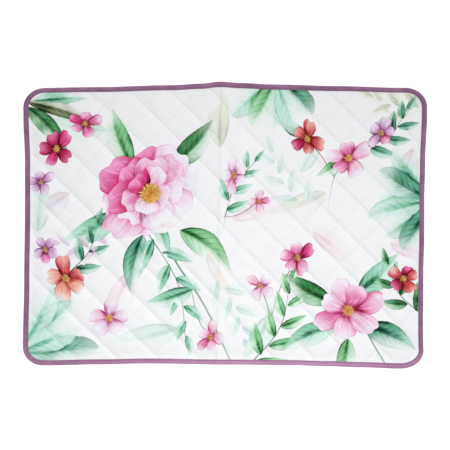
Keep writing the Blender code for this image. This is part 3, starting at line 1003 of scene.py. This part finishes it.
# One layer of the print over what is under it. The edge distance, shifted by noise, gives the
# cover, and pigment gathers where it is small. Leaves get veins from the fraction of along minus
# across. Petals get noise stretched along them, with a thin line wherever it is one half. Centres
# get rays about their middle. Deeper ink is the ink times itself, paler ink is screened with itself.
def inkGroup():
    group, given, out = newGroup(
        "inkLayer", (("Under", "Color"), ("Ink", "Color"), ("Edge", "Float"), ("Form", "Vector"),
                     ("Strength", "Float"), ("Wobble", "Float"), ("Grain", "Float"), ("Place", "Vector")),
        (("Color", "Color"),))

    def look(name, value):
        return ramp(group, value, *inkLook[name])

    def blend(mode, under, over):
        return mixColour(group, 1.0, under, over, mode)

    def laid(name, mask, under, over):
        return mixColour(group, times(group, mask, inkLook["shares"][name]), under, over)

    # a millionth of what is under it makes each layer wait for the one below, which saves memory
    inTurn = vectorMath(group, "MULTIPLY_ADD", given["Under"], (1e-6, 1e-6, 1e-6), given["Form"])
    along, across, kind = splitXyz(group, inTurn)
    edge = calc(group, "MULTIPLY_ADD", across, 1e-6, given["Edge"])
    wide = calc(group, "ABSOLUTE", across)
    centred = calc(group, "GREATER_THAN", kind, formKind["centre"] / 2)
    leafy = times(group, calc(group, "MAXIMUM", kind, 0.0), calc(group, "SUBTRACT", 1.0, centred))
    petal = calc(group, "MAXIMUM", times(group, kind, -1.0), 0.0)
    flat = joinXyz(group, along, across, 0.0)
    rays = noise(group, vectorMath(group, "NORMALIZE", flat), *inkLook["rayNoise"])

    edge = calc(group, "MULTIPLY_ADD", given["Wobble"], inkLook["wobble"], edge)
    spikes = times(group, calc(group, "SUBTRACT", rays, 0.5), centred, inkLook["spikes"])
    edge = calc(group, "ADD", edge, spikes)
    x, y, _ = splitXyz(group, given["Place"])
    acrossStretch, alongStretch = inkLook["streakStretch"]
    shiftX, shiftY = (times(group, socket, size) for socket, size in zip((x, y), inkLook["streakShift"]))
    streaked = joinXyz(group, calc(group, "MULTIPLY_ADD", across, acrossStretch, shiftX),
                       times(group, along, alongStretch), shiftY)
    streak = noise(group, streaked, *inkLook["streakNoise"])

    slant = calc(group, "MULTIPLY_ADD", wide, inkLook["veinSlant"], times(group, along, inkLook["veins"]))
    run = calc(group, "FRACT", calc(group, "MULTIPLY_ADD", streak, inkLook["veinBend"], slant))
    sideVein = times(group, look("sideVein", distanceFrom(group, run, 0.5)), look("veinFade", wide))
    veins = times(group, calc(group, "MAXIMUM", look("rib", wide), sideVein), leafy)
    strands = times(group, look("strand", streak), look("strandFade", along), petal)
    hairs = times(group, look("hair", distanceFrom(group, streak, 0.5)), look("hairFade", along), petal)
    outline = times(group, look("outline", edge), look("outlineBreaks", streak), petal)
    gaps = times(group, look("gap", rays), look("gapFade", vectorMath(group, "LENGTH", flat)), centred)
    specks = times(group, look("speck", noise(group, flat, *inkLook["speckNoise"])), centred)

    deeper = blend("MULTIPLY", blend("MULTIPLY", given["Ink"], given["Ink"]), inkLook["deeperTint"])
    colour = laid("veins", veins, given["Ink"], deeper)
    colour = laid("strands", strands, colour, deeper)
    paler = blend("SCREEN", colour, colour)
    colour = laid("pale", look("pale", streak), colour, paler)
    colour = laid("rim", look("rim", edge), colour, deeper)
    deepest = blend("MULTIPLY", blend("MULTIPLY", colour, deeper), inkLook["deepestTint"])
    colour = laid("hairs", hairs, colour, deepest)
    colour = laid("outline", outline, colour, deepest)
    colour = laid("grain", given["Grain"], colour, paler)
    colour = laid("gaps", gaps, colour, inkLook["gapTint"])
    colour = laid("specks", specks, colour, inkLook["speckTint"])
    # what lies behind is deeper just outside the shape
    shade = times(group, look("behind", edge), look("behindShare", given["Strength"]))
    behind = mixColour(group, shade, given["Under"], blend("MULTIPLY", given["Under"], given["Under"]))
    cover = times(group, look("cover", edge), given["Strength"])
    feed(group, out["Color"], mixColour(group, cover, behind, colour))
    return group


# A thin painted stroke: where the signed distance is within its half width.
def lineGroup():
    group, given, out = newGroup("inkLine", (("Under", "Color"), ("Ink", "Color"), ("Side", "Float"),
                                             ("Form", "Vector"), ("Wobble", "Float")), (("Color", "Color"),))
    far, half, _ = splitXyz(group, given["Form"])
    inside = calc(group, "SUBTRACT", half, calc(group, "ABSOLUTE", given["Side"]))
    inside = calc(group, "MULTIPLY_ADD", given["Wobble"], inkLook["lineWobble"], inside)
    cover = times(group, ramp(group, inside, *inkLook["lineCover"]), ramp(group, far, *inkLook["lineReach"]),
                  inkLook["lineStrength"])
    feed(group, out["Color"], mixColour(group, cover, given["Under"], given["Ink"]))
    return group


# Depth of the thread's own groove: minus e^(-distance / width) from the nearer stitch line.
def grooveGroup():
    group, given, out = newGroup(
        "stitchGroove", (("Place", "Vector"), ("Depth", "Float"), ("Width", "Float")), (("Height", "Float"),))
    near = []
    for place, share in zip(splitXyz(group, given["Place"]), panelSize["grooveShares"]):
        away = times(group, distanceFrom(group, place, calc(group, "ROUND", place)), lineSpacing * metre)
        fall = calc(group, "EXPONENT", calc(group, "DIVIDE", away, times(group, given["Width"], -1.0)))
        near.append(times(group, fall, share))
    feed(group, out["Height"], times(group, calc(group, "MAXIMUM", *near), given["Depth"], -1.0))
    return group


weave = weaveGroup()
inkLayer = inkGroup()
inkLine = lineGroup()
stitchGroove = grooveGroup()


# Weave and slub, and any other relief in metres, into the shader's normal.
def clothBump(tree, shader, place, name, relief=0.0):
    pitch, turn, depth = weaveSize[name]
    woven = useGroup(tree, weave, Place=place, Pitch=pitch * metre, Turn=turn)
    height = calc(tree, "MULTIPLY_ADD", woven["Slub"], weaveSize["slubShare"], woven["Height"])
    bump = tree.nodes.new("ShaderNodeBump")
    bump.inputs["Distance"].default_value = 1.0
    feed(tree, bump.inputs["Height"], calc(tree, "MULTIPLY_ADD", height, depth * metre, relief))
    feed(tree, shader.inputs["Normal"], bump.outputs[0])
    return woven["Slub"]


# Place on the flat cloth in metres, or among the quilting lines in diamonds.
def uvPlace(tree, label="cloth"):
    node = tree.nodes.new("ShaderNodeUVMap")
    node.uv_map = label
    return node.outputs[0]


def objectPlace(tree):
    return tree.nodes.new("ShaderNodeTexCoord").outputs["Object"]


# White cotton with its painted layers, back to front.
def printedCotton():
    material, tree, shader = newMaterial("printedCotton", roughness=0.9, sheen=0.02, specular=0.1)
    place = uvPlace(tree)
    wobble = calc(tree, "SUBTRACT", noise(tree, place, *inkLook["wobbleNoise"]), 0.5)
    grain = noise(tree, place, *inkLook["grainNoise"])
    mottle = noise(tree, place, *inkLook["mottleNoise"])
    ground = mixColour(tree, mottle, fourOf(clothTone["ground"]), fourOf(clothTone["groundDull"]))
    colour = (1.0, 1.0, 1.0, 1.0)
    for number in range(printLayers):
        if number == stemsUnder:
            stroke, form = readAttribute(tree, "stems"), readAttribute(tree, "stemsForm")
            colour = useGroup(tree, inkLine, Under=colour, Ink=stroke["Color"], Side=stroke["Alpha"],
                              Form=form["Vector"], Wobble=wobble)["Color"]
        ink, form = readAttribute(tree, f"ink{number}"), readAttribute(tree, f"form{number}")
        colour = useGroup(tree, inkLayer, Under=colour, Ink=ink["Color"], Edge=ink["Alpha"],
                          Form=form["Vector"], Strength=form["Alpha"], Wobble=wobble, Grain=grain,
                          Place=place)["Color"]
    feed(tree, shader.inputs["Base Color"], mixColour(tree, 1.0, ground, colour, "MULTIPLY"))
    x, _, _ = splitXyz(tree, place)
    depths = [depth * metre for depth in panelSize["grooveDepth"]]
    drawn = rampOver(tree, x, *panelSize["grooveSpan"], *depths)
    groove = useGroup(tree, stitchGroove, Place=uvPlace(tree, "quilt"), Depth=drawn,
                      Width=panelSize["grooveWidth"] * metre)
    clothBump(tree, shader, place, "printedCotton", groove["Height"])
    return material


# Sewing thread: one tone, darker in places by its twist.
def threadMaterial(name, tone):
    material, tree, shader = newMaterial(name, roughness=0.6, sheen=0.1)
    twist = noise(tree, objectPlace(tree), *clothTone["threadNoise"])
    shade = [value * clothTone["threadShade"] for value in clothTone[tone]]
    feed(tree, shader.inputs["Base Color"], mixColour(tree, twist, fourOf(clothTone[tone]), fourOf(shade)))
    return material


bindingSize = {
    "stationStep": 2.2,
    # section across the edge, distance in and height: up round the outside, then back inside
    "outer": ((6.2, 0.0), (4.5, 0.0), (2.8, 0.0), (1.5, 0.0), (0.8, 0.12), (0.3, 0.55), (0.04, 1.1),
              (0.0, 1.7), (0.05, 2.3), (0.3, 2.95), (0.75, 3.5), (1.3, 3.85), (1.9, 4.02), (2.6, 4.05),
              (3.4, 3.95), (4.1, 3.78), (4.7, 3.56), (5.2, 3.38), (5.6, 3.42), (6.0, 3.42), (6.35, 3.3),
              (6.5, 3.05)),
    "inner": ((6.4, 2.8), (4.0, 2.8), (1.6, 2.8), (1.05, 2.5), (1.0, 1.7), (1.05, 0.95), (1.6, 0.7),
              (4.0, 0.7), (6.2, 0.7)),
    "widest": 7,                # the point of the outside where its upper side begins
    "upper": (2.9, 3.4),        # the ripples and dimples begin between these heights
    "stitchIn": 5.2,            # stitch line, in from the outer edge
    "stitchPitch": 3.0,
    "stitchWidth": 0.7,         # width and depth of the dimples
    "dimple": 0.1,
    "ripple": 0.16,
    "ripplePitch": 9.0,
    "rippleIn": (1.0, 4.0),     # they grow between these distances in from the edge
    "strayIn": (3.0, 6.0),      # and the sewn edge strays between these
}
mauveLook = {       # ramps and noises as in inkLook
    "mottleNoise": (70.0, 3.0, 0.6),
    "mottle": (0.36, 0.64),
    "driftNoise": (22.0, 1.0),
    "drift": (0.35, 0.65, 0.0, 0.18),
    "front": (-150, -172),      # over these places along Y painted light makes the front edge lighter,
    "frontShare": 0.8,
    "litMiddle": 40,            # most of all at this place along X, and less away from it
    "lit": (50, 260, 1.0, 0.35),
    "sewnIn": (3.2, 5.8),       # painted shade: it gets darker towards its sewn edge, from here to here
    "sewnShadeShare": (0.0, 0.34),
    "upperSide": (18, 19, 1.0, 0.0),    # how far round the section its upper side ends
    "slubShare": 0.25,
}
bindingSection = np.array(bindingSize["outer"] + bindingSize["inner"])
aroundSection = np.concatenate([[0], np.cumsum(np.hypot(*np.diff(bindingSection, axis=0).T))])


# Binding cloth: mottled; painted light makes it lighter along the front edge, most of all a little right of
# its middle, and painted shade darkens it towards its sewn edge.
def mauveCotton():
    material, tree, shader = newMaterial("mauveCotton", roughness=0.82, sheen=0.2)
    place, onMat = uvPlace(tree), objectPlace(tree)
    _, around, _ = splitXyz(tree, place)
    x, y, _ = splitXyz(tree, onMat)
    mottle = ramp(tree, noise(tree, place, *mauveLook["mottleNoise"]), *mauveLook["mottle"])
    colour = mixColour(tree, mottle, fourOf(clothTone["mauve"]), fourOf(clothTone["mauveDull"]))
    # painted light: the front edge is lighter, most of all near litMiddle; the drift adds random lighter
    # patches
    middle = rampOver(tree, distanceFrom(tree, x, mauveLook["litMiddle"] * metre), *mauveLook["lit"])
    front = times(tree, rampOver(tree, y, *mauveLook["front"]), middle)
    drift = ramp(tree, noise(tree, onMat, *mauveLook["driftNoise"]), *mauveLook["drift"])
    paintedLightAndDrift = calc(tree, "MULTIPLY_ADD", front, mauveLook["frontShare"], drift)
    colour = mixColour(tree, paintedLightAndDrift, colour, fourOf(clothTone["mauveLit"]))
    # how far round the strip its upper side is at each distance in from the edge
    upper = slice(bindingSize["widest"], len(bindingSize["outer"]))
    sewnIn = np.interp(mauveLook["sewnIn"], bindingSection[upper, 0], aroundSection[upper]).tolist()
    # painted shade along the sewn edge, on the strip's upper side only
    sewn = times(tree, rampOver(tree, around, *sewnIn, *mauveLook["sewnShadeShare"]),
                 rampOver(tree, around, *mauveLook["upperSide"]))
    colour = mixColour(tree, sewn, colour, fourOf(clothTone["mauveDull"]))
    slub = times(tree, clothBump(tree, shader, place, "mauveCotton"), mauveLook["slubShare"])
    feed(tree, shader.inputs["Base Color"], mixColour(tree, slub, colour, fourOf(clothTone["mauve"])))
    return material


# Evenly spaced points round the flat outline, anticlockwise, with their inward directions and how
# far round they are.
def flatOutline(step):
    cornerPoints = 61
    arc = np.linspace(0, math.pi / 2, cornerPoints)
    corners = []
    for index, (sideX, sideY, radiusX, radiusY) in enumerate(matPlan["corners"]):
        angle = arc + math.pi / 2 * (index - 1)
        corners.append(np.stack([sideX * (flatHalfLength - radiusX) + radiusX * np.cos(angle),
                                 sideY * (halfWidth - radiusY) + radiusY * np.sin(angle)], -1))
    loop = np.concatenate(corners + [corners[0][:1]])
    length = np.concatenate([[0], np.cumsum(np.hypot(*np.diff(loop, axis=0).T))])
    count = int(round(length[-1] / step))
    at = np.arange(count) * length[-1] / count
    points = np.stack([np.interp(at, length, loop[:, axis]) for axis in (0, 1)], -1)
    ahead = np.roll(points, -1, 0) - np.roll(points, 1, 0)
    ahead /= np.hypot(*ahead.T)[:, None]
    return points, np.stack([-ahead[:, 1], ahead[:, 0]], -1), at


# Bias binding: its section carried round the outline, dimpled at the stitches and rippled.
def buildBinding():
    size = bindingSize
    points, inward, at = flatOutline(size["stationStep"])
    inn, high = bindingSection.T[:, None, :]
    run = at[:, None]
    zero = run * 0
    top = between(high, *size["upper"])
    stitch = bell(inn, size["stitchIn"], size["stitchWidth"]) * top
    dimples = size["dimple"] * (1 + np.cos(2 * np.pi * run / size["stitchPitch"]))
    ripples = np.sin(2 * np.pi * run / size["ripplePitch"] + uneven("bindingRipples", run, zero))
    high = high - stitch * dimples + top * size["ripple"] * ripples * between(inn, *size["rippleIn"])
    inn = inn + uneven("bindingEdge", run, zero + 9) * between(inn, *size["strayIn"]) * top
    x, y = (points[:, None, axis] + inward[:, None, axis] * inn for axis in (0, 1))
    laid = layDown(x, y, np.broadcast_to(high, x.shape))
    uv = np.stack(np.broadcast_arrays(run, aroundSection[None, :]), -1).reshape(-1, 2)
    quads = gridQuads(*x.shape, closed=(True, True))
    return makeMesh("biasBinding", laid.reshape(-1, 3), quads, uv=uv * metre)


stitchSize = {
    "quiltPitch": 3.1,
    "quiltLength": 2.5,
    "quiltThread": (0.08, 0.08),        # radius, and how far its ends go into the cloth
    "fromBinding": 0.3,         # quilting stitches end this far from the pressed edge
    "edgeLength": 2.3,
    "edgeHeight": 3.42,
    "edgeThread": (0.17, 0.12),
    # along a stitch: share of its length, height over the cloth and thickness, of the two above
    "arch": ((0.0, 0.12, 0.5, 0.88, 1.0), (-1.0, 0.35, 0.6, 0.35, -1.0), (0.5, 0.9, 1.0, 0.9, 0.5)),
}


# Short stitches: a four-sided bar on an arch from each start to its end.
def threadBars(name, starts, ends, upwards, thread):
    radius, sink = thread
    share, lift, thick = np.array(stitchSize["arch"])
    share, thick = share[None, :, None], thick[None, :, None, None] * radius
    axis = starts[:, None] * (1 - share) + ends[:, None] * share
    axis[..., 2] += lift * sink * upwards
    run = ends - starts
    side = np.stack([-run[:, 1], run[:, 0], run[:, 0] * 0], -1)
    side /= np.linalg.norm(side, axis=1, keepdims=True)
    ring = np.array(((1, 0), (0, 1), (-1, 0), (0, -1)))
    points = (axis[:, :, None] + side[:, None, None] * ring[None, None, :, :1] * thick
              + np.array([0, 0, 1.0]) * ring[None, None, :, 1:] * thick)
    bar = gridQuads(lift.size, len(ring), closed=(False, True))
    caps = np.array(((3, 2, 1, 0), (0, 1, 2, 3))) + [[0], [(lift.size - 1) * len(ring)]]
    quads = np.concatenate([bar, caps])[:, ::-1]
    first = np.arange(len(starts))[:, None, None] * lift.size * len(ring)
    return makeMesh(name, points.reshape(-1, 3), quads[None] + first)


# Stitches along both families of lines, each laid on the panel's surface.
def quiltStitches(name, onTop):
    diamond = panelSize["diamond"]
    reach = int((flatHalfLength + halfWidth) / diamond) + 1
    diagonal = np.arange(-reach * diamond, reach * diamond, stitchSize["quiltPitch"] * math.sqrt(2))
    shift = np.arange(-reach, reach + 1)[:, None] * diamond
    crossX, crossY = panelSize["crossing"]
    step = stitchSize["quiltLength"] / math.sqrt(2)
    laid = [[], []]
    for family, direction in enumerate((1, -1)):
        x = crossX + shift / 2 + diagonal / 2
        y = crossY + direction * (shift / 2 - diagonal / 2)
        ends = [np.stack([x + along, y - direction * along], -1).reshape(-1, 2) for along in (0, step)]
        kept = np.all([(np.abs(spot[:, 0]) < flatHalfLength) & (np.abs(spot[:, 1]) < halfWidth)
                       & (edgeDistance(*spot.T) > panelSize["pressedWidth"] + stitchSize["fromBinding"])
                       for spot in ends], axis=0)
        for found, spot in zip(laid, ends):
            spot = spot[kept]
            stray = lineStray(*spot.T)[family][:, None]
            spot = spot - np.array((1.0, direction)) * stray * diamond / 2
            found.append(layDown(*spot.T, panelHeights(*spot.T)[0 if onTop else 1]))
    starts, ends = (np.concatenate(found) for found in laid)
    return threadBars(name, starts, ends, 1 if onTop else -1, stitchSize["quiltThread"])


# Stitches along the binding's inner edge, one to each dimple.
def bindingStitches():
    points, inward, _ = flatOutline(bindingSize["stitchPitch"])
    ahead = np.stack([inward[:, 1], -inward[:, 0]], -1) * stitchSize["edgeLength"] / 2
    spot = points + inward * bindingSize["stitchIn"]
    height = np.full(len(spot), stitchSize["edgeHeight"])
    starts, ends = (layDown(*(spot + ahead * way).T, height) for way in (-1, 1))
    return threadBars("bindingStitches", starts, ends, 1, stitchSize["edgeThread"])


print("building the panel")
quiltedPanel = buildPanel()
quiltedPanel.data.materials.append(printedCotton())
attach(quiltedPanel, "root")
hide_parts("quilted_panel")

print("building the binding")
biasBinding = buildBinding()
biasBinding.data.materials.append(mauveCotton())
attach(biasBinding, "root")
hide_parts("bias_binding")

print("sewing")
whiteThread = threadMaterial("whiteThread", "thread")
sewn = [quiltStitches("quiltStitchesFront", True), quiltStitches("quiltStitchesBack", False)]
for stitches in sewn:
    stitches.data.materials.append(whiteThread)
    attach(stitches, "root")
edgeStitches = bindingStitches()
edgeStitches.data.materials.append(threadMaterial("mauveThread", "mauveThread"))
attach(edgeStitches, "root")

studio = {          # the floor's sizes in millimetres, those of the lights and camera in metres
    "floorSize": 40000.0,
    "floorBelow": 0.2,
    "floorTone": 0.97,
    "floorGlow": 0.35,
    "skyOverhead": 0.2,
    "skyAtHorizon": 0.95,
    "horizonBand": (0.04, 0.22),        # sine of the elevations between which the sky dims
    "keyStrength": 1.35,
    "keySoftness": 0.35,
    "keyFrom": (0.5, 0.865, 0.84),
    "fillPower": 6.3,
    "fillPlace": (0.03, -0.16, 0.75),
    "fillSize": 0.8,
    "pixelsPerMetre": 802.0,
    "frameWidth": 450,
    "cameraHeight": 2.2,
    "cameraPlace": (-0.00006, 0.0004),
    "sensorWidth": 36.0,
}


# A plain pale floor just under the mat, bright enough by itself to read as white.
def buildFloor():
    half, low = studio["floorSize"] / 2, -studio["floorBelow"]
    points = [(x * half, y * half, low) for x, y in ((-1, -1), (1, -1), (1, 1), (-1, 1))]
    floor = makeMesh("paleFloor", points, [[0, 1, 2, 3]])
    material, _, shader = newMaterial("paleFloor", roughness=0.9, specular=0.0)
    shader.inputs["Base Color"].default_value = (*[studio["floorTone"]] * 3, 1)
    shader.inputs["Emission Color"].default_value = (1, 1, 1, 1)
    shader.inputs["Emission Strength"].default_value = studio["floorGlow"]
    floor.data.materials.append(material)


# A sky that dims from the horizon up, one soft sun, one soft panel above the mat, and the camera.
def buildStudio():
    world = bpy.data.worlds.new("softbox")
    world.use_nodes = True
    tree = world.node_tree
    background = tree.nodes["Background"]
    background.inputs["Color"].default_value = (1, 1, 1, 1)
    direction = tree.nodes.new("ShaderNodeTexCoord")
    _, _, up = splitXyz(tree, direction.outputs["Generated"])
    glow = ramp(tree, calc(tree, "ABSOLUTE", up), *studio["horizonBand"], studio["skyAtHorizon"],
                studio["skyOverhead"])
    feed(tree, background.inputs["Strength"], glow)
    bpy.context.scene.world = world
    key = bpy.data.lights.new("key", "SUN")
    key.energy = studio["keyStrength"]
    key.angle = studio["keySoftness"]
    fill = bpy.data.lights.new("fill", "AREA")
    fill.energy = studio["fillPower"]
    fill.size = studio["fillSize"]
    for light, place in ((key, studio["keyFrom"]), (fill, studio["fillPlace"])):
        lamp = bpy.data.objects.new(light.name, light)
        lamp.location = place
        lamp.rotation_mode = "QUATERNION"
        if light.type == "SUN":
            lamp.rotation_quaternion = lamp.location.to_track_quat("Z", "Y")
        lamp.visible_camera = False
        bpy.context.scene.collection.objects.link(lamp)
    lens = bpy.data.cameras.new("above")
    lens.sensor_width = studio["sensorWidth"]
    framesPerMetre = studio["pixelsPerMetre"] / studio["frameWidth"]
    lens.lens = studio["sensorWidth"] * studio["cameraHeight"] * framesPerMetre
    lens.clip_end = 50.0
    camera = bpy.data.objects.new("above", lens)
    camera.location = (*studio["cameraPlace"], studio["cameraHeight"])
    bpy.context.scene.collection.objects.link(camera)
    bpy.context.scene.camera = camera
    bpy.context.scene.view_settings.view_transform = "Standard"


print("setting the floor, lights and camera")
buildFloor()
buildStudio()

print("scene ready")
